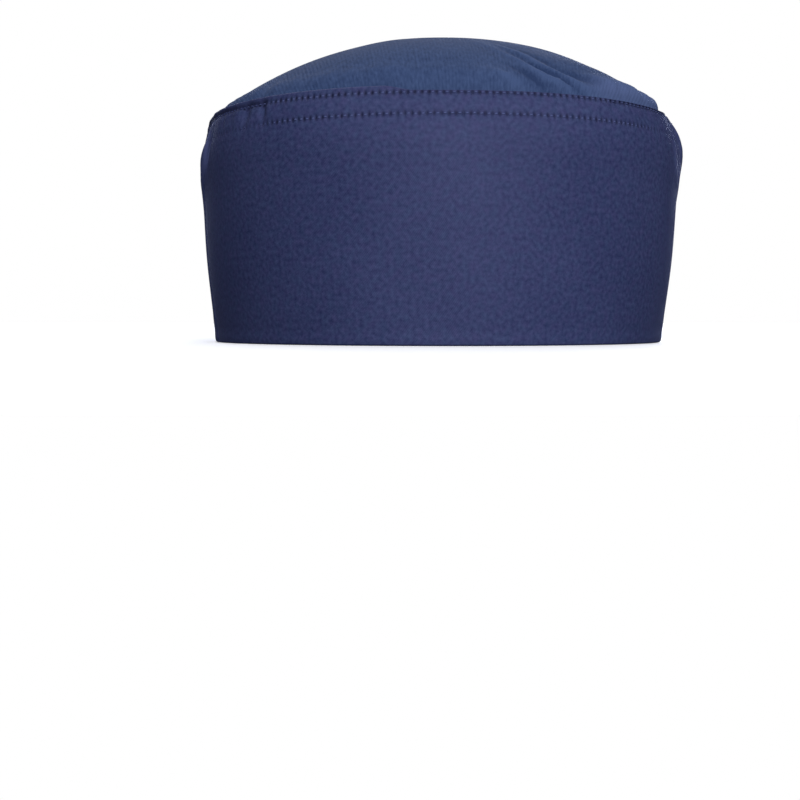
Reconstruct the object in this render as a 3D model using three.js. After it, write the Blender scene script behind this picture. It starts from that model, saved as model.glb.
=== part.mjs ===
// A chef's skull cap: a tall band of a stiff front panel and a plain back panel, joined at two side
// seams, with a soft domed crown let into its top edge. Every piece is a cloth wall and the hat is
// open below. Millimetres, +Z up, front towards -Y, origin in the middle of the rim, which stands
// level on z = 0. A turn is an angle about +Z, 0 at the front centre and positive towards +X.

import * as THREE from "three";

// Cloth walls and the clearances between them
const BAND_WALL = 1.6; // two plies of twill, folded at the rim
const CROWN_WALL = 1.0; // one ply of fine ribbed cloth
const LAP_GAP = 0.3; // between the band and the crown edge inside it
const SIDE_GAP = 0.6; // along the rim, between the front and back panels

// Outer face of the band, a row for each level from the rim to the crown seam: how far it reaches
// to the side, forwards and backwards, and the exponent of the superellipse, 2 being an ellipse
const BAND_LEVELS = [
  { height: 0, side: 83.0, front: 104.2, back: 104.2, squareness: 2.0 },
  { height: 28, side: 86.8, front: 105.8, back: 105.8, squareness: 2.07 },
  { height: 52, side: 87.9, front: 106.3, back: 106.3, squareness: 2.12 },
  { height: 67, side: 88.6, front: 105.0, back: 105.0, squareness: 2.16 },
  { height: 80, side: 86.8, front: 99.6, back: 99.6, squareness: 2.2 },
];

// Side seams: straight up from the rim, then swinging forwards over the shoulder of the band
const SIDE_SEAM = [
  { height: 0, turn: 75.5 },
  { height: 44, turn: 75.5 },
  { height: 61, turn: 71.5 },
  { height: 70, turn: 66 },
  { height: 80, turn: 63.5 },
];

// Crown: a dome that starts at the crown seam, its edge turned down inside the band. Its section is
// a quarter of an ellipse, with the rise's sine raised to a power: 1 is full, 2 falls to a slope
const CROWN_RISE = 29;
const DOME_POWER = { front: 1.1, side: 1.95, back: 1.3 };

// Soft folds and dents, a row each: where the middle is, how its line leans from upright (band) or
// from straight inwards (crown), half its length and width, and how far it stands out
const BAND_FOLDS = [
  { turn: 70.5, height: 67, lean: -30, length: 14, width: 3.4, rise: 1.1 },
  { turn: 84, height: 62, lean: -8, length: 22, width: 9, rise: 1.4 },
  { turn: 76.5, height: 71, lean: -26, length: 12, width: 3.4, rise: -0.6 },
  { turn: -70.5, height: 68, lean: 30, length: 14, width: 3.4, rise: 1.2 },
  { turn: -83, height: 60, lean: 8, length: 20, width: 8, rise: 1.1 },
  { turn: -76, height: 70, lean: 28, length: 12, width: 3.4, rise: -0.7 },
  { turn: 150, height: 56, lean: 12, length: 20, width: 10, rise: -0.8 },
  { turn: -146, height: 48, lean: -16, length: 22, width: 11, rise: -0.9 },
  { turn: 178, height: 60, lean: 4, length: 18, width: 12, rise: 0.7 },
];
const CROWN_FOLDS = [
  { turn: 17, inset: 15, lean: -42, length: 17, width: 3.2, rise: 1.3 },
  { turn: 24, inset: 15, lean: -41, length: 18, width: 3.2, rise: 1.2 },
  { turn: 20.5, inset: 15, lean: -42, length: 15, width: 3.0, rise: -0.8 },
  { turn: 12, inset: 8, lean: -45, length: 9, width: 3.0, rise: 0.7 },
  { turn: -58, inset: 26, lean: 24, length: 20, width: 7, rise: -0.8 },
  { turn: 112, inset: 30, lean: 18, length: 24, width: 8, rise: -0.9 },
  { turn: -140, inset: 28, lean: -14, length: 24, width: 8, rise: 0.8 },
];
const FOLD_RADIUS = 92; // mean radius of the band, turning an angle into a length round it
const SEAM_FADE = 6; // inset from the crown seam over which the crown's folds die away
const POLE_FADE = 0.3; // share of the way out from the pole over which they do so there

// Facets. A panel's columns crowd towards its side seams and its rows towards the shoulder. The
// crown's lap lies behind the top rows of both panels, facet for facet, at an even distance
const PANELS = {
  front: { columns: 40, from: (seam) => -seam, to: (seam) => seam },
  back: { columns: 48, from: (seam) => seam, to: (seam) => 360 - seam },
};
const BAND_ROWS = 12;
const LAP_ROWS = 3;
const DOME_ROWS = 9;
const SEAM_CROWDING = 0.5;
const SHOULDER_CROWDING = 1.4;

const { euclideanModulo, lerp, degToRad, radToDeg, smoothstep } = THREE.MathUtils;
const BAND_HEIGHT = BAND_LEVELS.at(-1).height;
const ALL_COLUMNS = PANELS.front.columns + PANELS.back.columns;
const NORMAL_STEP = 0.05; // share of a facet over which a surface normal is worked out

const navy = new THREE.MeshStandardMaterial({ color: 0x3d4266, roughness: 0.85, metalness: 0 });
const blue = new THREE.MeshStandardMaterial({ color: 0x404e74, roughness: 0.8, metalness: 0 });

// A smooth curve through the rows of a table: returns a function of height giving every column
function curveThrough(rows) {
  const names = Object.keys(rows[0]).filter((name) => name !== "height");
  const heights = rows.map((row) => row.height);
  const values = rows.flatMap((row) => names.map((name) => row[name]));
  const curve = new THREE.CubicInterpolant(heights, values, names.length);
  return (height) => {
    const found = curve.evaluate(height);
    return Object.fromEntries(names.map((name, index) => [name, found[index]]));
  };
}

const bandLevel = curveThrough(BAND_LEVELS);
const seamLevel = curveThrough(SIDE_SEAM);

// Sum of soft ridges: each a Gaussian hump, long along its leaning line and narrow across it
function foldRise(folds, turn, travel, place) {
  let rise = 0;
  for (const fold of folds) {
    const round = euclideanModulo(turn - fold.turn + 180, 360) - 180;
    const sideways = degToRad(round) * FOLD_RADIUS;
    const upwards = travel - fold[place];
    const lean = degToRad(fold.lean);
    const along = (upwards * Math.cos(lean) + sideways * Math.sin(lean)) / fold.length;
    const across = (sideways * Math.cos(lean) - upwards * Math.sin(lean)) / fold.width;
    rise += fold.rise * Math.exp(-along * along - across * across);
  }
  return rise;
}

// Point on a level's superellipse at a turn, lifted out by the folds
function bandFace(turn, height) {
  const level = bandLevel(height);
  const sine = Math.sin(degToRad(turn));
  const cosine = Math.cos(degToRad(turn));
  const power = level.squareness;
  const stretch = (Math.abs(sine) ** power + Math.abs(cosine) ** power) ** (-1 / power);
  const reach = cosine > 0 ? level.front : level.back;
  const flat = new THREE.Vector2(level.side * sine, -reach * cosine).multiplyScalar(stretch);
  flat.setLength(flat.length() + foldRise(BAND_FOLDS, turn, height, "height"));
  return new THREE.Vector3(flat.x, flat.y, height);
}

function rowHeight(row) {
  return BAND_HEIGHT * (1 - Math.max(1 - row / BAND_ROWS, 0) ** SHOULDER_CROWDING);
}

// Turn of a panel's column at a height, a margin keeping the panel clear of the seam itself
function columnTurn(panel, column, height, margin) {
  const seam = seamLevel(height).turn;
  const share = column / panel.columns;
  const crowded = lerp(share, (1 - Math.cos(Math.PI * share)) / 2, SEAM_CROWDING);
  return lerp(panel.from(seam) + margin, panel.to(seam) - margin, crowded);
}

// Outward normal of a surface at (column, row), from the two directions across it
function normalOf(surface, column, row, lastRow) {
  const low = Math.max(row - NORMAL_STEP, 0);
  const high = Math.min(row + NORMAL_STEP, lastRow);
  const round = surface(column + NORMAL_STEP, row).sub(surface(column - NORMAL_STEP, row));
  const up = surface(column, high).sub(surface(column, low));
  return round.cross(up).normalize();
}

// The surface moved inwards by a depth along its normals; the rim's foot stays level
function insetSurface(surface, lastRow, depth) {
  return (column, row) => {
    const point = surface(column, row);
    const moved = point.clone().addScaledVector(normalOf(surface, column, row, lastRow), -depth);
    return point.z === 0 ? moved.setZ(0) : moved;
  };
}

const count = (length, pick) => Array.from({ length }, (_, index) => pick(index));

// Points of a surface, row by row from the foot
function gridPoints(surface, columns, rows) {
  return count((columns + 1) * (rows + 1), (index) => {
    return surface(index % (columns + 1), Math.floor(index / (columns + 1)));
  });
}

// Triangles of such a grid, turned over for an inner face
function gridFaces(faces, columns, rows, first, flipped) {
  for (let row = 0; row < rows; row += 1) {
    for (let column = 0; column < columns; column += 1) {
      const a = first + row * (columns + 1) + column;
      const b = a + 1;
      const c = a + columns + 2;
      const d = a + columns + 1;
      faces.push(...(flipped ? [a, c, b, a, d, c] : [a, b, c, a, c, d]));
    }
  }
}

// Joins the edges of the two faces of a wall, the inner face's vertices following the outer's
function edgeFaces(faces, outer, offset) {
  for (let step = 0; step + 1 < outer.length; step += 1) {
    const [a, b] = [outer[step], outer[step + 1]];
    faces.push(a, a + offset, b, b, a + offset, b + offset);
  }
}

function solidFrom(points, faces) {
  const geometry = new THREE.BufferGeometry().setFromPoints(points);
  geometry.setIndex(faces);
  geometry.computeVertexNormals();
  return geometry;
}

// A panel of the band: a wall with four edges, between two side seams
function bandPanel(panel) {
  const margin = radToDeg(SIDE_GAP / 2 / FOLD_RADIUS);
  const outer = (column, row) => {
    const height = rowHeight(row);
    return bandFace(columnTurn(panel, column, height, margin), height);
  };
  const inner = insetSurface(outer, BAND_ROWS, BAND_WALL);
  const columns = panel.columns;
  const wide = columns + 1;
  const points = [outer, inner].flatMap((face) => gridPoints(face, columns, BAND_ROWS));
  const half = points.length / 2;
  const faces = [];
  gridFaces(faces, columns, BAND_ROWS, 0, false);
  gridFaces(faces, columns, BAND_ROWS, half, true);
  const foot = count(wide, (column) => column);
  const rising = count(BAND_ROWS + 1, (row) => row * wide + columns);
  const top = count(wide, (column) => BAND_ROWS * wide + columns - column);
  const falling = count(BAND_ROWS + 1, (row) => (BAND_ROWS - row) * wide);
  for (const edge of [foot, rising, top, falling]) {
    edgeFaces(faces, edge, half);
  }
  return solidFrom(points, faces);
}

// The whole band's outer face by the crown's columns, and the inside face that the lap follows
function turnAround(column, height) {
  const { front, back } = PANELS;
  const place = euclideanModulo(column, ALL_COLUMNS);
  return place < front.columns
    ? columnTurn(front, place, height, 0)
    : columnTurn(back, place - front.columns, height, 0);
}
const bandAround = (column, row) => bandFace(turnAround(column, rowHeight(row)), rowHeight(row));
const lapFace = insetSurface(bandAround, BAND_ROWS, BAND_WALL + LAP_GAP);

// The crown's outer face: its first rows climb the lap, the others cross the dome to the pole
function crownFace(column, row) {
  if (row <= LAP_ROWS) {
    return lapFace(column, BAND_ROWS - LAP_ROWS + row);
  }
  const quarter = ((row - LAP_ROWS) / DOME_ROWS) * (Math.PI / 2);
  const reach = Math.cos(quarter);
  const edge = lapFace(column, BAND_ROWS);
  const base = lerp(BAND_HEIGHT, edge.z, reach * reach);
  const inset = (1 - reach) * Math.hypot(edge.x, edge.y);
  const turn = turnAround(column, BAND_HEIGHT);
  const ease = smoothstep(inset, 0, SEAM_FADE) * smoothstep(reach, 0, POLE_FADE);
  const fold = foldRise(CROWN_FOLDS, turn, inset, "inset") * ease;
  const facing = Math.cos(degToRad(turn));
  const end = facing > 0 ? DOME_POWER.front : DOME_POWER.back;
  const dome = CROWN_RISE * Math.sin(quarter) ** lerp(DOME_POWER.side, end, facing * facing);
  return new THREE.Vector3(edge.x * reach, edge.y * reach, base + dome + fold);
}

// The crown: rings of points up the lap and over the dome, closed by a pole on each face
function crownCap() {
  const rows = LAP_ROWS + DOME_ROWS - 1;
  const wide = ALL_COLUMNS + 1;
  const inner = insetSurface(crownFace, LAP_ROWS + DOME_ROWS, CROWN_WALL);
  const points = [crownFace, inner].flatMap((face) => gridPoints(face, ALL_COLUMNS, rows));
  const half = points.length / 2;
  const pole = crownFace(0, LAP_ROWS + DOME_ROWS);
  points.push(pole, pole.clone().setZ(pole.z - CROWN_WALL));
  const faces = [];
  gridFaces(faces, ALL_COLUMNS, rows, 0, false);
  gridFaces(faces, ALL_COLUMNS, rows, half, true);
  edgeFaces(faces, count(wide, (column) => column), half);
  for (let column = 0; column < ALL_COLUMNS; column += 1) {
    const last = rows * wide + column;
    faces.push(last, last + 1, 2 * half);
    faces.push(last + half, 2 * half + 1, last + half + 1);
  }
  return solidFrom(points, faces);
}

function piece(name, geometry, material) {
  const mesh = new THREE.Mesh(geometry, material);
  mesh.name = name;
  return mesh;
}

const group = new THREE.Group();
group.add(piece("front_panel", bandPanel(PANELS.front), navy));
group.add(piece("back_panel", bandPanel(PANELS.back), navy));
group.add(piece("crown_top", crownCap(), blue));

export default group;
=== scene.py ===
"""Looks of a chef's skull cap: two navy twill panels that make the band, the ribbed blue crown let
into its top edge, their topstitching and the finished edges inside, on a pale studio floor.

Shapes are worked out in millimetres and scaled when a mesh is made. +Z is up and the front faces
-Y. A turn is an angle round +Z in degrees, 0 at the front centre and positive towards +X.
"""
import math

import bpy
import numpy as np
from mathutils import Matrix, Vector


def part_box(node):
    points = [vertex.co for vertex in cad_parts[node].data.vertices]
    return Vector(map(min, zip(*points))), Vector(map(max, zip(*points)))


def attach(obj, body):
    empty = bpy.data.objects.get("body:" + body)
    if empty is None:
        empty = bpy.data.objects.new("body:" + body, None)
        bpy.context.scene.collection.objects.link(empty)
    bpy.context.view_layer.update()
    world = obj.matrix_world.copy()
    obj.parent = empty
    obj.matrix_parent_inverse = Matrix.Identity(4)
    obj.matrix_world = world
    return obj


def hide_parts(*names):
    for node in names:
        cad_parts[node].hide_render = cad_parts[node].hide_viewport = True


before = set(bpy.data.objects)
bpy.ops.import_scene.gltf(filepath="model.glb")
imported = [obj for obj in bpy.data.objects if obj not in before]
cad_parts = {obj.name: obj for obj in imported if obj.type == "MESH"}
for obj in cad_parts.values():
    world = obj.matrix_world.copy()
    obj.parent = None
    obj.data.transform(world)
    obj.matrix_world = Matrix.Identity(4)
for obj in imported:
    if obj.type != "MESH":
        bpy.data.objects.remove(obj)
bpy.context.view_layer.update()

MM = 0.001
BAND_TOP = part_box("front_panel")[1].z / MM
CROWN_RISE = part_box("crown_top")[1].z / MM - BAND_TOP
LAP_DEPTH = BAND_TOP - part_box("crown_top")[0].z / MM

# Cloth walls and clearances
DRAWN_TOP = 80  # the band's height in the tables below
BAND_WALL = 1.6
CROWN_WALL = 1.0
LAP_GAP = 0.3  # between the crown's lap and the inside of the band
SEAM_MARGIN = -0.1  # the seams are sewn tight, so the panels press into each other
SEAM_SHARPNESS = 2.2  # how much tighter the roll is at a side seam than at a folded edge

# Outer face of the band by height: reach to the side, reach to the front and back, and the
# exponent of the superellipse
BAND_LEVELS = {
    "height": (0, 28, 52, 67, 80),
    "side": (83.0, 86.8, 87.9, 88.6, 86.8),
    "reach": (104.2, 105.8, 106.3, 105.0, 99.6),
    "squareness": (2.0, 2.07, 2.12, 2.16, 2.2),
}
# Side seams: straight up from the rim, then swinging forwards over the shoulder
SIDE_SEAM = {
    "height": (0, 44, 51, 57, 62, 70, 80),
    "left": (75.5, 75.5, 74.8, 72.2, 68.2, 66.3, 63.5),
    "right": (75.5, 75.0, 72.6, 68.6, 65.2, 62.2, 60.5),
}
EDGE_DROP = 1.8  # how far the band's top edge is drawn down towards its upper stitches

# Turns where each of these starts, is full, starts to fade and ends
DROPPED_EDGE = (-16, -9, 50, 66)  # from just left of the front centre to the right shoulder
LEFT_SHOULDER = (38, 46, 76, 92)  # stitches sunk in the cloth, by turns to the left
RIGHT_SHOULDER = (36, 52, 76, 92)
RIGHT_GROOVE = (28, 38, 56, 66)  # under the upper row of stitches
RIGHT_PUFF = (24, 36, 58, 72)  # of the crown over its seam
RIGHT_PUFF_HIGHLIGHT = (24, 36, 52, 70)  # painted highlight on that puff

# Soft folds: turn, place (height on the band, inset from the seam on the crown), lean of the
# line, half its length and width, and how far it stands out
BAND_FOLDS = (
    (67.6, 71.5, -30, 14, 2.9, 1.6),
    (84, 62, -8, 22, 9, 0.6),
    (59.5, 67, -6, 7, 1.6, 0.45),
    (62.5, 58.5, -46, 6, 1.6, 0.4),
    (83, 36, 0, 16, 16, -1.0),
    (90, 2, 0, 12, 26, 0.8),
    (-93, 2, 0, 14, 26, 1.0),
    (76.5, 71, -26, 12, 3.4, -0.6),
    (-70.7, 67.3, 8, 9, 2.8, 1.2),
    (-68.9, 68, 2, 8, 1.6, 0.5),
    (-73.5, 60, 34, 9, 2.4, 0.9),
    (-70.2, 74.9, 14, 9, 10.1, -1.55),
    (-82.2, 62.2, 8, 14, 4.1, 0.5),
    (-88, 46, 0, 30, 14, -0.5),
    (150, 56, 12, 20, 10, -0.8),
    (-146, 48, -16, 22, 11, -0.9),
    (178, 60, 4, 18, 12, 0.7),
    (65.7, 86.2, -28, 10, 13.4, -4.7),
    (-80.8, 75.7, 28, 12, 9, -1.4),
)
# Painted highlights on the ridges of the shoulder folds and painted shade in the hollow behind
# them: the same columns with the tone last
FOLD_LIGHT_AND_SHADE = (
    (-68.6, 68.5, 2, 8, 1.6, 1.7),
    (-71.2, 60, 52, 7.5, 2, 2.3),
    (-76, 52.5, 25, 6, 1.6, 1.3),
    (-80.5, 75, 81, 11, 2.8, -2.2),
    (60.4, 68.5, 4, 7, 1.7, 1.8),
    (60.8, 61, -34, 5, 1.6, 0.9),
    (66.5, 59.6, -74, 8, 2.2, 1.1),
    (70.8, 49, -16, 8, 2.2, 0.9),
    (66.8, 66, -8, 9, 2.4, 0.7),
)
CROWN_FOLDS = (
    (37, 9, -80, 22, 7, 1.5),
    (-58, 26, 24, 20, 7, -0.8),
    (112, 30, 18, 24, 8, -0.9),
    (-140, 28, -14, 24, 8, 0.8),
)
# Tucks drawn into the crown's seam on the right, raised ones first, in the same columns
CROWN_TUCKS = (
    (10.8, 18, -36, 12, 2.4, 0.7),
    (16.3, 6.2, -41, 6, 1.2, 0.9),
    (20.2, 2.3, -77, 8, 0.9, 1.1),
    (16.7, 14, -42, 11, 2.4, 0.8),
    (24.0, 3.9, -65, 8.5, 1.1, 1.1),
    (10.6, 1.8, -66, 5, 1.0, 0.8),
    (15.7, 2.9, -65, 6.5, 1.2, -1.1),
    (13.9, 13.5, -40, 11, 1.8, -0.7),
    (21.6, 4.0, -67, 8, 1.0, -1.2),
    (29.0, 3.8, -78, 9, 1.3, -1.0),
    (19.6, 12.5, -44, 11, 1.8, -0.7),
)
MEAN_RADIUS = 92  # turns an angle into a length round the band, and is the dome's span
DOME_POWER = {"front": 1.1, "side": 1.95, "back": 1.3}
SEAM_FADE = 1.5  # the crown's folds fade out this near its seam
POLE_FADE = 0.3  # and over this share of the way out from its pole

# Topstitching: two rows round the top of the band, the upper first
STITCH_HEIGHTS = (77.4, 70.5)
STITCH_PITCH = 2.2
STITCH_SHARE = 0.56  # of the pitch that a stitch covers, the rest being its holes
ROW_SHIFT = 0.37  # the lower row's stitches against the upper's, in stitches
THREAD = 0.5
LOOSENESS = 0.035
OVERLOCK_PITCH = 1.7
OVERLOCK_THREAD = 0.3
# One overlock loop, from the inside of the lap over its raw edge: how far along in loops, how far
# up from the edge, and how far out from the lap's outer face
OVERLOCK_LOOP = {
    "along": (1.2, 0.9, 0.6, 0.3, 0.1, 0.0, -0.1, -0.3),
    "up": (4.2, 3.2, 2.0, 0.9, -0.15, -0.15, 0.9, 2.2),
    "out": (-0.95, -1.2, -1.22, -1.2, -0.95, -0.1, 0.04, 0.02),
}

# Small creases that the sewing draws up: the same columns as the folds
DRAWN_CREASES = (
    (-43.4, 75.4, -8, 3.6, 1.5, -0.95),
    (-41.4, 75.6, -10, 3.6, 1.5, 0.3),
    (-48.6, 75.6, 12, 4.2, 2.4, -1.0),
    (-52.0, 76.0, 12, 3.6, 1.8, 0.3),
    (33.5, 75.0, 24, 3.4, 1.2, -0.3),
    (8.0, 75.4, -18, 3.2, 1.3, -0.22),
    (-12.0, 75.2, 16, 3.4, 1.3, -0.22),
)


def smooth(low, high, value):
    """Smoothstep: 3t^2 - 2t^3 of the share t of the way from low to high."""
    t = np.clip((value - low) / (high - low), 0, 1)
    return t * t * (3 - 2 * t)


def between(stops, value):
    """1 between the two middle stops, easing from 0 at the first and to 0 at the last."""
    start, full, fading, end = stops
    return smooth(start, full, value) * (1 - smooth(fading, end, value))


def bell(offset, width):
    """Gaussian hump, 1 at no offset."""
    return np.exp(-((offset / width) ** 2))


def wrapped(turn):
    """The same turn between -180 and 180."""
    return (turn + 180) % 360 - 180


def level(table, name, height):
    """Smooth curve through a table's column: cubic Hermite pieces with the column's own gradient
    as slopes, carried on straight past the ends."""
    at, value = np.array(table["height"], float), np.array(table[name], float)
    slope = np.gradient(value, at)
    inside = np.clip(height, at[0], at[-1])
    i = np.clip(np.searchsorted(at, inside, side="right") - 1, 0, len(at) - 2)
    step = at[i + 1] - at[i]
    t = (inside - at[i]) / step
    curve = (1 + 2 * t) * (1 - t) ** 2 * value[i] + t * (1 - t) ** 2 * step * slope[i]
    curve += t * t * (3 - 2 * t) * value[i + 1] - t * t * (1 - t) * step * slope[i + 1]
    return curve + (height - inside) * np.where(height > at[-1], slope[-1], slope[0])


def ridge(sideways, upwards, lean, length, width, rise):
    """A Gaussian hump that is long along its leaning line and narrow across it: rise *
    exp(-along^2 - across^2)."""
    c, s = math.cos(math.radians(lean)), math.sin(math.radians(lean))
    along = (upwards * c + sideways * s) / length
    across = (sideways * c - upwards * s) / width
    return rise * np.exp(-(along**2) - across**2)


def fold_rise(rows, turn, travel):
    """Sum of ridges placed by turn and by travel up or across the face."""
    total = np.zeros(np.broadcast(turn, travel).shape)
    for place_round, place, lean, length, width, rise in rows:
        sideways = np.radians(wrapped(turn - place_round)) * MEAN_RADIUS
        total += ridge(sideways, travel - place, lean, length, width, rise)
    return total


def plan_rise(rows, x, y):
    """The same sum for ridges placed by x and y in plan."""
    total = np.zeros(np.broadcast(x, y).shape)
    for across, ahead, lean, length, width, rise in rows:
        total += ridge(x - across, y - ahead, lean, length, width, rise)
    return total


def edge_drop(turn):
    """How far the band's top edge is drawn down: all of it from just left of the front centre,
    dying out before the right shoulder."""
    return EDGE_DROP * between(DROPPED_EDGE, wrapped(turn))


def buried(turn, row):
    """How far a row of stitches sinks into the cloth over the shoulders, 0 to 1: both rows on the
    left, and the lower one on the right."""
    left = between(LEFT_SHOULDER, -wrapped(turn))
    return left if row == STITCH_HEIGHTS[0] else left + between(RIGHT_SHOULDER, wrapped(turn))


def band_face(turn, height):
    """Outer face of the band: at each height the superellipse x = side * sin * k, y = -reach *
    cos * k with k = (|sin|^n + |cos|^n)^(-1/n), its radius lengthened by the folds. Above the
    upper stitches the heights first close up by the edge's drop."""
    turn, height = np.broadcast_arrays(turn, height)
    above = np.clip((height - STITCH_HEIGHTS[0]) / (BAND_TOP - STITCH_HEIGHTS[0]), 0, 1)
    height = height - edge_drop(turn) * above
    sine, cosine = np.sin(np.radians(turn)), np.cos(np.radians(turn))
    power = level(BAND_LEVELS, "squareness", height)
    stretch = (np.abs(sine) ** power + np.abs(cosine) ** power) ** (-1 / power)
    x = level(BAND_LEVELS, "side", height) * sine * stretch
    y = -level(BAND_LEVELS, "reach", height) * cosine * stretch
    swell = 1 + fold_rise(BAND_FOLDS, turn, height) / np.hypot(x, y)
    return np.stack([x * swell, y * swell, height], -1)


def raised(face, turn, travel, lift):
    """Points of a face moved out along its normals by a lift. The normal is the cross product of
    a small step round the face and a small step up it; at a pole it is straight up."""
    step = 0.05
    round_it = face(turn + step, travel) - face(turn - step, travel)
    up_it = face(turn, travel + step) - face(turn, travel - step)
    normal = np.cross(round_it, up_it)
    size = np.linalg.norm(normal, axis=-1, keepdims=True)
    normal = np.where(size > 1e-9, normal / np.maximum(size, 1e-9), (0.0, 0.0, 1.0))
    return face(turn, travel) + normal * np.asarray(lift)[..., None]


def lap_face(turn, height):
    """Outer face of the crown's turned-down edge, just inside the band."""
    return raised(band_face, turn, height, np.full(np.shape(turn), -(BAND_WALL + LAP_GAP)))


def crown_face(turn, travel):
    """Outer face of the crown. Below 0 the travel climbs the lap; from 0 to the mean radius it
    crosses the dome: the seam's outline drawn in by the reach, 1 at the seam and 0 at the pole,
    and raised by rise * sin^power, where the sine is that of the quarter round with the reach as
    its cosine."""
    turn, travel = np.broadcast_arrays(turn, travel)
    lap = lap_face(turn, BAND_TOP + np.minimum(travel, 0))
    reach = 1 - np.maximum(travel, 0) / MEAN_RADIUS
    radius = np.hypot(lap[..., 0], lap[..., 1])
    inset = (1 - reach) * radius
    ease = smooth(0, SEAM_FADE, inset) * smooth(0, POLE_FADE, reach)
    facing = np.cos(np.radians(turn))
    end = np.where(facing > 0, DOME_POWER["front"], DOME_POWER["back"])
    power = DOME_POWER["side"] + (end - DOME_POWER["side"]) * facing**2
    quarter_sine = np.sqrt(np.clip(1 - reach**2, 0, 1))
    height = BAND_TOP + (lap[..., 2] - BAND_TOP) * reach**8
    height = height + CROWN_RISE * quarter_sine**power
    folds = fold_rise(CROWN_FOLDS, turn, inset) + fold_rise(CROWN_TUCKS, turn, inset)
    height = height + folds * ease
    return np.stack([lap[..., 0] * reach, lap[..., 1] * reach, height], -1)


def scattered(seed, count, turns, places, leans, lengths, widths, rises):
    """Rows for fold_rise, drawn evenly between the limits; half of them are dents."""
    draw = np.random.default_rng(seed)
    limits = (turns, places, leans, lengths, widths, rises)
    rows = np.stack([draw.uniform(*pair, count) for pair in limits], -1)
    rows[:, 5] *= np.where(draw.random(count) < 0.5, -1, 1)
    return rows


ROUND = (-180, 180)
BAND_PUCKERS = scattered(3, 150, ROUND, (72.5, 76.5), (-26, 26), (2.2, 4), (0.9, 1.9), (0.05, 0.16))
BAND_WAVES = scattered(5, 26, ROUND, (8, 60), (-50, 50), (18, 34), (9, 20), (0.1, 0.3))
CROWN_EASE = scattered(8, 150, ROUND, (1.5, 5), (-22, 22), (2.6, 5.5), (1, 2), (0.08, 0.26))
# The crown's waves are placed by x and y in plan
CROWN_WAVES = scattered(9, 40, (-75, 75), (-90, 90), (-90, 90), (14, 34), (6, 14), (0.12, 0.45))


def band_relief(turn, height):
    """Fine relief of the band: slow waves, a groove along each row of stitches, deeper where the
    upper row sinks, the puff between the rows, the small creases across them, and the roll just
    above the folded rim."""
    relief = fold_rise(BAND_WAVES, turn, height)
    relief += fold_rise(BAND_PUCKERS, turn, height) + fold_rise(DRAWN_CREASES, turn, height)
    upper, lower = STITCH_HEIGHTS
    relief -= 0.05 * (bell(height - upper, 0.9) + bell(height - lower, 0.9))
    drawn_in = between(RIGHT_GROOVE, turn) + buried(turn, upper)
    relief -= 0.35 * drawn_in * bell(height - upper - 0.3, 0.8)
    relief += 0.16 * bell(height - 74.1, 2.2) * (1 - 0.6 * buried(turn, lower))
    return relief + 0.12 * bell(height - 1.9, 1.3) - 0.06 * bell(height - 4.8, 1.6)


def seam_relief(past_seam):
    """Relief beside a side seam by the distance past it: the front panel's last stretch sinks to
    the seam, and the back panel rises from it to a low ridge with a shallow valley behind."""
    front = -0.1 * bell(past_seam, 1.6)
    back = 0.25 * bell(past_seam - 3.2, 2.4) - 0.15 * bell(past_seam - 9.0, 2.4)
    return np.where(past_seam < 0, front, back)


def crown_relief(turn, travel):
    """Fine relief of the crown: slow waves, the soft puff over the seam and the small puckers
    where its fullness is eased in."""
    plan = crown_face(turn, travel)
    relief = plan_rise(CROWN_WAVES, plan[..., 0], plan[..., 1]) * smooth(0, 4, travel)
    relief += fold_rise(CROWN_EASE, turn, travel) * smooth(-0.5, 1.5, travel)
    relief += 1.5 * between(RIGHT_PUFF, turn) * bell(travel - 3.4, 3.0) * smooth(-0.2, 1.6, travel)
    return relief + 0.5 * bell(travel - 3.0, 2.4) * smooth(-0.2, 1.2, travel)


def spread(*stretches):
    """Positions along stretches, each (from, to, spacing), without repeats."""
    parts = [np.linspace(a, b, math.ceil((b - a) / gap) + 1) for a, b, gap in stretches]
    return np.unique(np.concatenate(parts).round(4))


def new_piece(name, points, faces, material, maps):
    """A mesh object from points in millimetres and arrays of faces, one array for each number of
    corners. maps are (name, a pair of numbers for each point)."""
    corners = np.concatenate([part.ravel() for part in faces]).astype(np.int32)
    sizes = np.concatenate([np.full(len(part), part.shape[1]) for part in faces])
    starts = (np.cumsum(sizes) - sizes).astype(np.int32)
    mesh = bpy.data.meshes.new(name)
    mesh.vertices.add(len(points))
    mesh.loops.add(len(corners))
    mesh.polygons.add(len(sizes))
    mesh.vertices.foreach_set("co", (points * MM).astype(np.float32).ravel())
    mesh.loops.foreach_set("vertex_index", corners)
    mesh.polygons.foreach_set("loop_start", starts)
    mesh.update(calc_edges=True)
    for map_name, pairs in maps:
        layer = mesh.uv_layers.new(name=map_name)
        layer.uv.foreach_set("vector", pairs.astype(np.float32)[corners].ravel())
    mesh.validate()
    mesh.shade_smooth()
    mesh.materials.append(material)
    piece = bpy.data.objects.new(name, mesh)
    bpy.context.scene.collection.objects.link(piece)
    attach(piece, "root")
    return piece


def grid_faces(ids, wraps=False):
    """Quads between the neighbours of a grid of point numbers, counter-clockwise seen from
    outside where columns go round and rows go up. Quads drawn to a point become triangles."""
    if wraps:
        ids = np.concatenate([ids, ids[:, :1]], 1)
    quads = np.stack([ids[:-1, :-1], ids[:-1, 1:], ids[1:, 1:], ids[1:, :-1]], -1).reshape(-1, 4)
    drawn = quads[:, 2] == quads[:, 3]
    return quads[~drawn], quads[drawn][:, :3]


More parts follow.
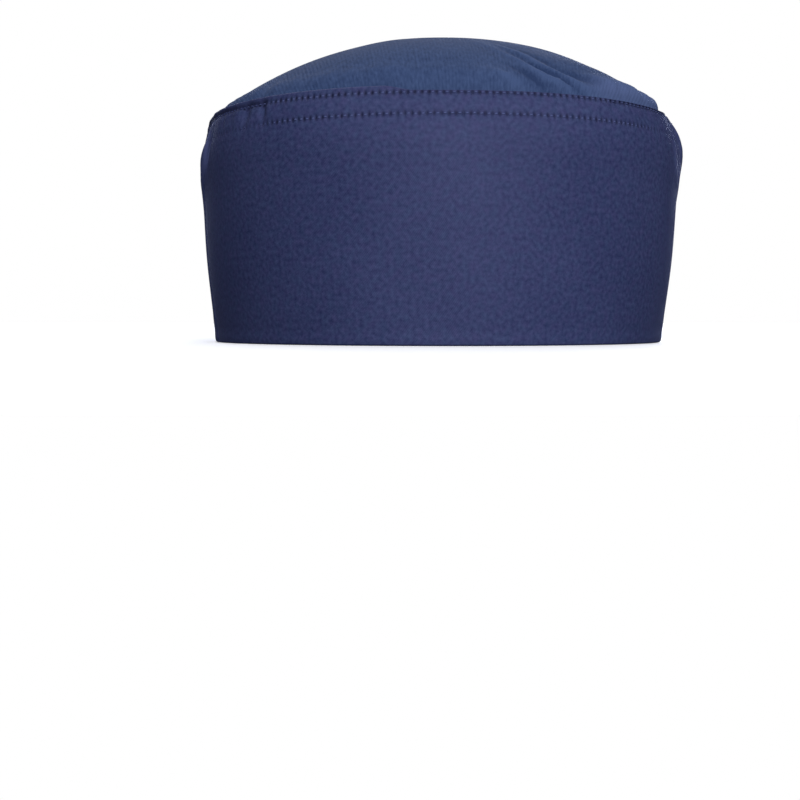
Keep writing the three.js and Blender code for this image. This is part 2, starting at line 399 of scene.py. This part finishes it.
def cloth_wall(name, face, turn, travel, wall, relief, edge, maps, material, pole=False):
    """Closed skin of a cloth wall. The outer face is the face raised by its relief, and the inner
    face lies a wall's thickness inside. Within half a thickness of an edge the two draw together
    as a half round, sqrt(1 - (1 - d)^2), so that a folded edge is a soft roll. With a pole the
    columns go all round and the last row is one point. Points that no face uses are left out."""
    roll = np.sqrt(1 - (1 - np.clip(edge / (wall / 2), 0, 1)) ** 2)
    outer = raised(face, turn, travel, -wall / 2 + roll * (wall / 2 + relief))
    inner = raised(face, turn, travel, -wall / 2 - roll * wall / 2)
    rows, columns = turn.shape
    outer_ids = np.arange(rows * columns).reshape(rows, columns)
    inner_ids = outer_ids + rows * columns
    inner_ids[0] = outer_ids[0]
    if pole:
        outer_ids[-1] = outer_ids[-1, 0]
        inner_ids[-1] = inner_ids[-1, 0]
    else:
        inner_ids[-1] = outer_ids[-1]
        inner_ids[:, 0], inner_ids[:, -1] = outer_ids[:, 0], outer_ids[:, -1]
    faces = [*grid_faces(outer_ids, pole)]
    faces += [part[:, ::-1] for part in grid_faces(inner_ids, pole)]
    corners = np.concatenate([part.ravel() for part in faces])
    used, renumbered = np.unique(corners, return_inverse=True)
    cuts = np.cumsum([part.size for part in faces])[:-1]
    faces = [new.reshape(old.shape) for new, old in zip(np.split(renumbered.ravel(), cuts), faces)]
    points = np.concatenate([outer.reshape(-1, 3), inner.reshape(-1, 3)])[used]
    kept_maps = []
    for map_name, numbers in maps:
        pairs = np.stack([np.broadcast_to(number, turn.shape) for number in numbers], -1)
        kept_maps.append((map_name, np.tile(pairs.reshape(-1, 2), (2, 1))[used]))
    return new_piece(name, points, [part for part in faces if len(part)], material, kept_maps)


def row_length(face, travel):
    """Turns all round a face at one travel, and the length walked to each."""
    turns = np.linspace(-180, 180, 1441)
    steps = np.linalg.norm(np.diff(face(turns, np.full(turns.shape, float(travel))), axis=0), axis=-1)
    return turns, np.concatenate([[0], np.cumsum(steps)])


ROW_TURNS, ROW_LENGTHS = row_length(band_face, STITCH_HEIGHTS[0])
STITCHES = round(ROW_LENGTHS[-1] / STITCH_PITCH)


def stitch_number(turn):
    """How many stitches into the rows a turn is."""
    whole = np.floor((turn + 180) / 360)
    return (np.interp(turn - 360 * whole, ROW_TURNS, ROW_LENGTHS) / ROW_LENGTHS[-1] + whole) * STITCHES


def turn_of_stitch(number):
    """The turn at a number of stitches into the rows."""
    return np.interp(number / STITCHES % 1 * ROW_LENGTHS[-1], ROW_LENGTHS, ROW_TURNS)


class Wire:
    """A socket's output, so that shader maths reads as sums; each operator adds a Math node."""

    def __init__(self, finish, socket):
        self.finish = finish
        self.socket = socket

    def maths(self, operation, *values):
        return self.finish.maths(operation, self, *values)

    def __add__(self, other):
        return self.maths("ADD", other)

    def __radd__(self, other):
        return self.maths("ADD", other)

    def __sub__(self, other):
        return self.maths("SUBTRACT", other)

    def __rsub__(self, other):
        return self.finish.maths("SUBTRACT", other, self)

    def __mul__(self, other):
        return self.maths("MULTIPLY", other)

    def __rmul__(self, other):
        return self.maths("MULTIPLY", other)

    def __truediv__(self, other):
        return self.maths("DIVIDE", other)

    def __neg__(self):
        return self.maths("MULTIPLY", -1.0)


class Finish:
    """A material in the making."""

    def __init__(self, name):
        self.material = bpy.data.materials.new(name)
        self.material.use_nodes = True
        self.tree = self.material.node_tree
        self.tree.nodes.clear()

    def add(self, kind, settings=None, sockets=None, output=0):
        """Adds a node: its type, its settings, then values or wires for its sockets."""
        node = self.tree.nodes.new("ShaderNode" + kind)
        for name, value in (settings or {}).items():
            setattr(node, name, value)
        for name, value in (sockets or {}).items():
            if isinstance(value, Wire):
                self.tree.links.new(value.socket, node.inputs[name])
            else:
                node.inputs[name].default_value = value
        return Wire(self, node.outputs[output] if node.outputs else None)

    def maths(self, operation, *values):
        return self.add("Math", {"operation": operation}, dict(enumerate(values)))

    def clamp(self, value):
        """The value kept between 0 and 1."""
        return self.maths("MINIMUM", self.maths("MAXIMUM", value, 0.0), 1.0)

    def bell(self, offset, width):
        """Gaussian hump of a value round 0."""
        share = offset / width
        return self.maths("EXPONENT", -(share * share))

    def split(self, map_name):
        """A map on the piece, as a vector and as its two numbers."""
        pair = self.add("UVMap", {"uv_map": map_name})
        xyz = self.add("SeparateXYZ", None, {0: pair})
        node = xyz.socket.node
        return pair, Wire(self, node.outputs[0]), Wire(self, node.outputs[1])

    def stretched(self, vector, *scale):
        """A vector with each of its numbers scaled."""
        return self.add("Mapping", None, {"Vector": vector, "Scale": scale})

    def noise(self, vector, scale, detail=2.0, roughness=0.5):
        sockets = {"Vector": vector, "Scale": scale, "Detail": detail, "Roughness": roughness}
        return self.add("TexNoise", {"noise_dimensions": "3D"}, sockets)

    def mix(self, share, first, second):
        """Colour part of the way from the first to the second."""
        return self.add("Mix", {"data_type": "RGBA"}, {0: share, 6: first, 7: second}, output=2)

    def surface(self, body, roughness, height=None, **constants):
        """Closes the material: a Principled surface of a body colour, with a bump whose height is
        in millimetres and with its constant sockets, named with _ for a space."""
        sockets = {"Base Color": body, "Roughness": roughness}
        sockets.update({name.replace("_", " "): value for name, value in constants.items()})
        if height is not None:
            bump = {"Strength": 1.0, "Distance": MM, "Height": height}
            sockets["Normal"] = self.add("Bump", None, bump)
        shader = self.add("BsdfPrincipled", None, sockets)
        self.add("OutputMaterial", None, {"Surface": shader})
        return self.material


def colour(red, green, blue):
    """Linear colour, with alpha, from the 0 to 255 values of a swatch."""
    share = np.array([red, green, blue]) / 255
    linear = np.where(share <= 0.04045, share / 12.92, ((share + 0.055) / 1.055) ** 2.4)
    return (*(float(c) for c in linear), 1.0)


# Constant sockets of the band's and threads' soft gloss, and of the crown's duller cloth
GLOSS = {"Specular_IOR_Level": 0.38, "Specular_Tint": (0.65, 0.64, 1.0, 1.0)}
DULL = {"Specular_IOR_Level": 0.15, "Specular_Tint": (0.65, 0.7, 1.0, 1.0)}


def navy_twill():
    """Band cloth: a very fine steep twill under a clouded dye that wanders from cool to warm,
    painted shade in the needle holes along the rows of stitches and in the crease where the upper
    row sinks, worn a little lighter along its folded edges, with a painted highlight along the top
    edge and on the ridges of the shoulder folds, and painted shade in the hollows behind them."""
    f = Finish("navy_twill")
    cloth, u, v = f.split("Cloth")
    _, number, height = f.split("Sewing")
    wander = f.noise(cloth, 0.22) - 0.5
    twill = f.maths("SINE", (u * 1.7 + v * 1.05 + wander * 0.8) * math.tau)
    yarn = f.noise(f.stretched(cloth, 4.5, 1.3, 1.0), 1.0, 1.0)
    grain = f.noise(cloth, 0.72, 1.0, 0.4)
    fine = f.noise(cloth, 2.4, 2.0, 0.6)
    mottle = f.noise(cloth, 0.03, 3.0, 0.55)
    elsewhere = f.add("Mapping", None, {"Vector": cloth, "Location": (31.0, 17.0, 0.0)})
    tone = f.noise(elsewhere, 0.33)
    _, *sunk = f.split("Buried")
    # The fold map holds painted highlights on the ridges of the shoulder folds, and painted shade in
    # their hollows where it is below 0
    fold = f.split("FoldLightShade")[1]
    # Needle holes and the crease where the upper row sinks: painted shade in the colour, and dents in
    # the bump
    holes = 0.0
    for row, shift, depth, lost in zip(STITCH_HEIGHTS, (0.0, ROW_SHIFT), (1.0, 0.85), sunk):
        from_hole = f.maths("PINGPONG", number + shift, 0.5) * STITCH_PITCH
        hole = f.bell(from_hole, 0.52) * f.bell(height - row, 0.85) * depth
        holes = hole * (1 - lost * 0.75) + holes
    crease = sunk[0] * f.bell(height - STITCH_HEIGHTS[0] - 0.4, 1.1)
    holes = f.clamp(holes + crease * 0.45)
    # Worn lighter along the folded rim and top edge; along the top edge also a painted highlight where
    # its roll catches the light
    edge_wear_and_highlight = (f.bell(height - 0.4, 0.6) + f.bell(height - BAND_TOP, 0.4)) * (0.3 + 0.7 * grain)
    shade = 0.55 + (grain - 0.5) * 1.25 + (fine - 0.5) * 0.6 + twill * 0.04 + (yarn - 0.5) * 0.3
    # the fold term adds painted highlights and painted shade to the cloth's tone
    shade = shade + (mottle - 0.5) * 0.5 + fold * 0.5
    cool = f.mix(f.clamp(shade), colour(23, 34, 70), colour(56, 67, 102))
    warm = f.mix(f.clamp(shade), colour(26, 32, 70), colour(60, 64, 102))
    body = f.mix(f.clamp(0.5 + (tone - 0.5) * 3.0), cool, warm)
    # Worn edges and painted highlights on the fold ridges, mixed towards a light blue
    body = f.mix(f.clamp(edge_wear_and_highlight * 0.2 + fold * 0.4), body, colour(72, 79, 119))
    # Painted shade in the hollows behind the shoulder folds
    hollow = f.clamp(-fold)
    body = f.mix(hollow * 0.65, body, colour(12, 15, 40))
    # Painted shade in the needle holes and in the sunk crease
    body = f.mix(f.clamp(holes * (0.3 + tone * 1.3)), body, colour(10, 16, 44))
    relief = twill * 0.008 + (grain - 0.5) * 0.06 + (fine - 0.5) * 0.02 - holes * 0.35
    return f.surface(body, 0.71 + (grain - 0.5) * 0.12 + hollow * 0.25, relief, **GLOSS)


def ribbed_blue():
    """Crown cloth: fine ribs that run from front to back, pressed flatter in patches, on a bluer,
    lighter ground with painted highlights on the ridges of the tucks and painted shade in their
    hollows, a painted highlight over the puff at the seam on the right and a little painted light
    all round near the seam."""
    f = Finish("ribbed_blue")
    cloth, u, v = f.split("Cloth")
    wander = f.noise(cloth, 0.06) - 0.5
    pressed = f.clamp((f.noise(cloth, 0.045) - 0.42) * 4)
    ribs = f.maths("SINE", (u / 1.3 + wander * 0.5) * math.tau) * (0.4 + 0.6 * pressed)
    weft = f.maths("SINE", (v / 0.55) * math.tau)
    grain = f.noise(f.stretched(cloth, 0.9, 0.36, 1.0), 1.0, 2.0, 0.6)
    mottle = f.noise(cloth, 0.04, 3.0, 0.55)
    # The map holds painted highlights and painted shade of the tucks, and the painted highlight over
    # the puff
    _, tuck, puff = f.split("CrownLightShade")
    shade = 0.5 + ribs * 0.1 + (grain - 0.5) * 1.7 + (mottle - 0.5) * 0.5 + tuck * 0.8 + puff * 0.4
    body = f.mix(f.clamp(shade), colour(31, 47, 79), colour(57, 74, 109))
    # Painted highlight over the puff at the seam
    body = f.mix(puff * 0.6, body, colour(84, 97, 136))
    relief = ribs * 0.03 + weft * 0.005 + (grain - 0.5) * 0.06
    return f.surface(body, 0.78 + (grain - 0.5) * 0.12, relief, **DULL)


def sewing_thread(name, swatch):
    """Sewing thread: fine strands, with painted shade at both ends where each stitch dives into its
    hole, and darker along its whole length where the row is sunk."""
    f = Finish(name)
    strands = f.noise(f.stretched(f.add("TexCoord", output=3), 4000, 4000, 4000), 1.0)
    body = f.mix(f.clamp(strands), colour(*(c * 0.8 for c in swatch)), colour(*swatch))
    _, along, sunk = f.split("Stitch")
    # Painted shade at both ends of each stitch, where it dives into its hole
    ends = f.clamp(1.6 * f.maths("ABSOLUTE", along - 0.5) - 0.3)
    body = f.mix(ends * (1 - sunk * 0.6), body, colour(20, 28, 62))
    body = f.mix(sunk * 0.8, body, colour(38, 46, 82))
    return f.surface(body, 0.6 + strands * 0.2, strands * 0.03, **GLOSS)


TWILL = navy_twill()
RIBBED = ribbed_blue()
TOP_THREAD = sewing_thread("top_thread", (76, 86, 130))
LOCK_THREAD = sewing_thread("lock_thread", (50, 57, 92))


def band_panel(name, node, seams, middle, width):
    """One panel of the band between two side seams, each given as the seam's side, a sign for its
    turn and a whole turn to add. Its columns follow the seams, closer together beside them."""
    roll, beside_seam = 0.8, 9
    across = spread(
        (0, roll, 0.16),
        (roll, beside_seam, 0.45),
        (beside_seam, width - beside_seam, 0.74),
        (width - beside_seam, width - roll, 0.45),
        (width - roll, width, 0.16),
    )
    height = spread(
        (0, roll, 0.16),
        (roll, 7, 0.5),
        (7, 68, 1.7),
        (68, DRAWN_TOP - roll, 0.32),
        (DRAWN_TOP - roll, DRAWN_TOP, 0.16),
    )
    share, height = np.meshgrid(across / width, height * BAND_TOP / DRAWN_TOP)
    start, stop = (sign * level(SIDE_SEAM, side, height) + whole for side, sign, whole in seams)
    per_degree = math.radians(1) * MEAN_RADIUS
    margin = SEAM_MARGIN / per_degree
    turn = start + margin + (stop - start - 2 * margin) * share
    from_start, from_stop = (turn - start) * per_degree, (stop - turn) * per_degree
    beside = np.minimum(from_start, from_stop) - SEAM_MARGIN
    edge = np.minimum.reduce([beside * SEAM_SHARPNESS, height, BAND_TOP - height])
    past = -1 if node == "front_panel" else 1
    relief = band_relief(wrapped(turn), height)
    relief += seam_relief(past * from_start) + seam_relief(past * from_stop)
    level_height = band_face(turn, height)[..., 2]
    maps = [
        ("Cloth", ((turn - middle) * per_degree, height)),
        ("Sewing", (stitch_number(turn), level_height)),
        ("Buried", tuple(buried(turn, row) for row in STITCH_HEIGHTS)),
        # painted highlights and painted shade of the shoulder folds
        ("FoldLightShade", (fold_rise(FOLD_LIGHT_AND_SHADE, turn, height), 0)),
    ]
    edge = np.maximum(edge, 0)
    piece = cloth_wall(name, band_face, turn, height, BAND_WALL, relief, edge, maps, TWILL)
    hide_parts(node)


FRONT_SEAMS = (("left", -1, 0), ("right", 1, 0))
BACK_SEAMS = (("right", 1, 0), ("left", -1, 360))
band_panel("front_cloth", "front_panel", FRONT_SEAMS, 0, 242.4)
band_panel("back_cloth", "back_panel", BACK_SEAMS, 180, 335.8)


def crown():
    """The crown cloth, from the raw edge of its lap up and over the dome. Its flat map is the cut
    oval: straight out from the pole by the length over the cloth."""
    raw_edge = -LAP_DEPTH
    lap = spread((raw_edge, raw_edge + 0.5, 0.12), (raw_edge + 0.5, -1, 1.0), (-1, 0, 0.25))
    dome = spread((0, 1.6, 0.2), (1.6, 14, 0.5), (14, MEAN_RADIUS, 1.45))
    travel = np.unique(np.concatenate([lap, dome]))
    turn = np.concatenate([np.arange(0, 60, 0.5), np.arange(60, 360, 1.0)])
    turn, travel = np.meshgrid(turn, travel)
    points = crown_face(turn, travel)
    steps = np.linalg.norm(np.diff(points, axis=0), axis=-1)
    from_pole = np.concatenate([np.cumsum(steps[::-1], axis=0)[::-1], np.zeros((1, turn.shape[1]))])
    flat = (from_pole * np.sin(np.radians(turn)), -from_pole * np.cos(np.radians(turn)))
    inset = np.maximum(travel, 0)
    # Painted light for the crown: the ridges of the tucks lighter and their hollows darker
    tuck = np.clip(fold_rise(CROWN_TUCKS, turn, inset), -1.2, 1.2)
    # Painted highlight over the puff at the seam on the right, and a little painted light all round
    # near the seam
    puff = np.maximum(between(RIGHT_PUFF_HIGHLIGHT, turn) * bell(inset - 1.8, 3.2), 0.1 * bell(inset, 6))
    maps = [("Cloth", flat), ("CrownLightShade", (tuck, puff))]
    relief = crown_relief(turn, travel)
    edge = travel - raw_edge
    piece = cloth_wall(
        "crown_cloth", crown_face, turn, travel, CROWN_WALL, relief, edge, maps, RIBBED, pole=True
    )
    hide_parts("crown_top")


crown()


def threads(name, turn, travel, lift, radius, face, material, sides=6, flat=1.0, sunk=0.0):
    """Joined short threads. Each is a tube round a line of stations, given as arrays of threads by
    stations; a ring of the tube is a circle in (travel, lift), pressed flat, and both ends are
    closed. The map holds the share along the thread and how far it is sunk in the cloth."""
    count, stations = turn.shape
    shape = (count, stations, sides)
    lines = (turn, travel, lift, radius, sunk)
    turn, travel, lift, radius, sunk = (np.broadcast_to(line, turn.shape)[..., None] for line in lines)
    ring = np.arange(sides) / sides * math.tau
    travel = travel + radius * np.sin(ring)
    lift = lift + flat * radius * np.cos(ring)
    points = raised(face, np.broadcast_to(turn, shape), travel, lift)
    ids = np.arange(count * stations * sides).reshape(shape)
    ahead = np.roll(ids, -1, axis=2)
    quads = np.stack([ids[:, :-1], ids[:, 1:], ahead[:, 1:], ahead[:, :-1]], -1).reshape(-1, 4)
    caps = np.concatenate([ids[:, 0], ids[:, -1, ::-1]])
    share = np.linspace(0, 1, stations)[:, None]
    pairs = np.stack([np.broadcast_to(number, shape) for number in (share, sunk)], -1)
    maps = [("Stitch", pairs.reshape(-1, 2))]
    piece = new_piece(name, points.reshape(-1, 3), [quads, caps], material, maps)


def topstitch(name, face, row, shift, base, side, material):
    """One row of stitches on a face, base out from it and on its outer side, 1, or inner, -1.
    Each rises out of its hole as sin^0.55, lies on the cloth with a slight slant and dives into
    the next, thinning at both ends."""
    along = np.linspace(0, 1, 7)
    start = (1 - STITCH_SHARE) / 2 - shift
    turn = turn_of_stitch(np.arange(STITCHES)[:, None] + start + STITCH_SHARE * along)
    arch = np.sin(math.pi * along) ** 0.55
    loose = np.random.default_rng(11).normal(0, LOOSENESS, (STITCHES, 1))
    travel = row + loose + 0.16 * (along - 0.5)
    sunk = buried(turn, row) * (side > 0)
    lift = base + side * (0.2 * arch - 0.2 + loose * arch - 0.18 * sunk)
    radius = THREAD / 2 * (0.35 + 0.65 * arch)
    threads(name, turn, travel, lift, radius, face, material, flat=0.6, sunk=sunk)


for label, row, shift in zip(("upper", "lower"), STITCH_HEIGHTS, (0.0, ROW_SHIFT)):
    topstitch(f"{label}_topstitch", band_face, row, shift, -0.03, 1, TOP_THREAD)
    topstitch(f"{label}_lockstitch", lap_face, row, shift, -CROWN_WALL, -1, LOCK_THREAD)


def overlock():
    """Overlock sewing over the raw edge of the crown's lap: slanting loops that run up the inside,
    over the edge and down the outside, one after another."""
    along, up, out = (np.array(column) for column in OVERLOCK_LOOP.values())
    count = round(ROW_LENGTHS[-1] / OVERLOCK_PITCH)
    turn = turn_of_stitch((np.arange(count)[:, None] + along) / count * STITCHES)
    travel = BAND_TOP - LAP_DEPTH + up
    swell = np.sin(math.pi * np.linspace(0, 1, len(along)))
    radius = OVERLOCK_THREAD / 2 * (0.6 + 0.4 * swell)
    threads("lap_overlock", turn, travel, out, radius, lap_face, LOCK_THREAD, sides=5)


overlock()


def look_at(thing, place, target):
    """Stands a light or the camera at a place, facing a target."""
    thing.location = place
    thing.rotation_euler = (Vector(target) - Vector(place)).to_track_quat("-Z", "Y").to_euler()
    bpy.context.scene.collection.objects.link(thing)


def far_light(name, turn, rise, strength, softness, tint):
    """A broad light far away, at a turn from the front and so many degrees up."""
    data = bpy.data.lights.new(name, "SUN")
    data.energy = strength
    data.color = tint
    data.angle = math.radians(softness)
    turn, rise = math.radians(turn), math.radians(rise)
    towards = (math.sin(turn) * math.cos(rise), -math.cos(turn) * math.cos(rise), math.sin(rise))
    look_at(bpy.data.objects.new(name, data), towards, (0, 0, 0))


WHITE_LIGHT = (1, 1, 1)
COOL_LIGHT = (0.6, 0.68, 1.0)
# Name, turn from the front, degrees up, strength, softness in degrees and tint
LIGHTS = (
    ("key_light", 7, 25, 3.4, 40, WHITE_LIGHT),
    ("top_light", 0, 90, 0.4, 60, WHITE_LIGHT),
    ("back_light", 180, 50, 0.75, 50, WHITE_LIGHT),
    ("left_edge_light", -164, 12, 0.42, 20, COOL_LIGHT),
    ("right_edge_light", 162, 12, 1.1, 24, COOL_LIGHT),
)
SURROUND_STRENGTH = 0.15
FLOOR_REACH = 30.0  # metres


def studio():
    """Pale floor, even surround, white behind the hat and cool where it lights it, and soft
    lights, the main one in front and a little to the right."""
    f = Finish("pale_floor")
    speck = f.noise(f.add("TexCoord", output=3), 40.0)
    floor_colour = f.mix(speck, colour(240, 240, 240), colour(246, 246, 246))
    floor_material = f.surface(floor_colour, 0.7, Emission_Color=(1, 1, 1, 1), Emission_Strength=0.3)
    mesh = bpy.data.meshes.new("floor")
    far = FLOOR_REACH
    corners = [(-far, -far, 0), (far, -far, 0), (far, far, 0), (-far, far, 0)]
    mesh.from_pydata(corners, [], [(0, 1, 2, 3)])
    mesh.materials.append(floor_material)
    floor = bpy.data.objects.new("floor", mesh)
    bpy.context.scene.collection.objects.link(floor)
    floor.visible_diffuse = False
    floor.visible_glossy = False
    world = bpy.data.worlds.new("surround")
    bpy.context.scene.world = world
    world.use_nodes = True
    nodes, links = world.node_tree.nodes, world.node_tree.links
    nodes["Background"].inputs["Color"].default_value = (*COOL_LIGHT, 1)
    nodes["Background"].inputs["Strength"].default_value = SURROUND_STRENGTH
    bright = nodes.new("ShaderNodeBackground")
    bright.inputs["Color"].default_value = (1, 1, 1, 1)
    bright.inputs["Strength"].default_value = 1.0
    path = nodes.new("ShaderNodeLightPath")
    either = nodes.new("ShaderNodeMixShader")
    links.new(path.outputs["Is Camera Ray"], either.inputs[0])
    links.new(nodes["Background"].outputs[0], either.inputs[1])
    links.new(bright.outputs[0], either.inputs[2])
    links.new(either.outputs[0], nodes["World Output"].inputs[0])
    for light in LIGHTS:
        far_light(*light)


# Where the camera stands and aims, in metres from the middle of the rim
CAMERA_TURN = math.radians(-4.3)
CAMERA_DISTANCE = 0.5
CAMERA_HEIGHT = 0.007
AIM_ASIDE = -0.0139
AIM_HEIGHT = -0.0226
SENSOR_WIDTH = 36  # this and the lens in millimetres
LENS = 58.3


def camera():
    """Long lens just above the floor, a little to the left of the front, aimed so that the hat
    stands in the upper part of the picture."""
    data = bpy.data.cameras.new("camera")
    data.sensor_width = SENSOR_WIDTH
    data.lens = LENS
    thing = bpy.data.objects.new("camera", data)
    sine, cosine = math.sin(CAMERA_TURN), math.cos(CAMERA_TURN)
    place = (CAMERA_DISTANCE * sine, -CAMERA_DISTANCE * cosine, CAMERA_HEIGHT)
    look_at(thing, place, (AIM_ASIDE * cosine, AIM_ASIDE * sine, AIM_HEIGHT))
    bpy.context.scene.camera = thing


studio()
camera()
bpy.context.scene.view_settings.view_transform = "Standard"
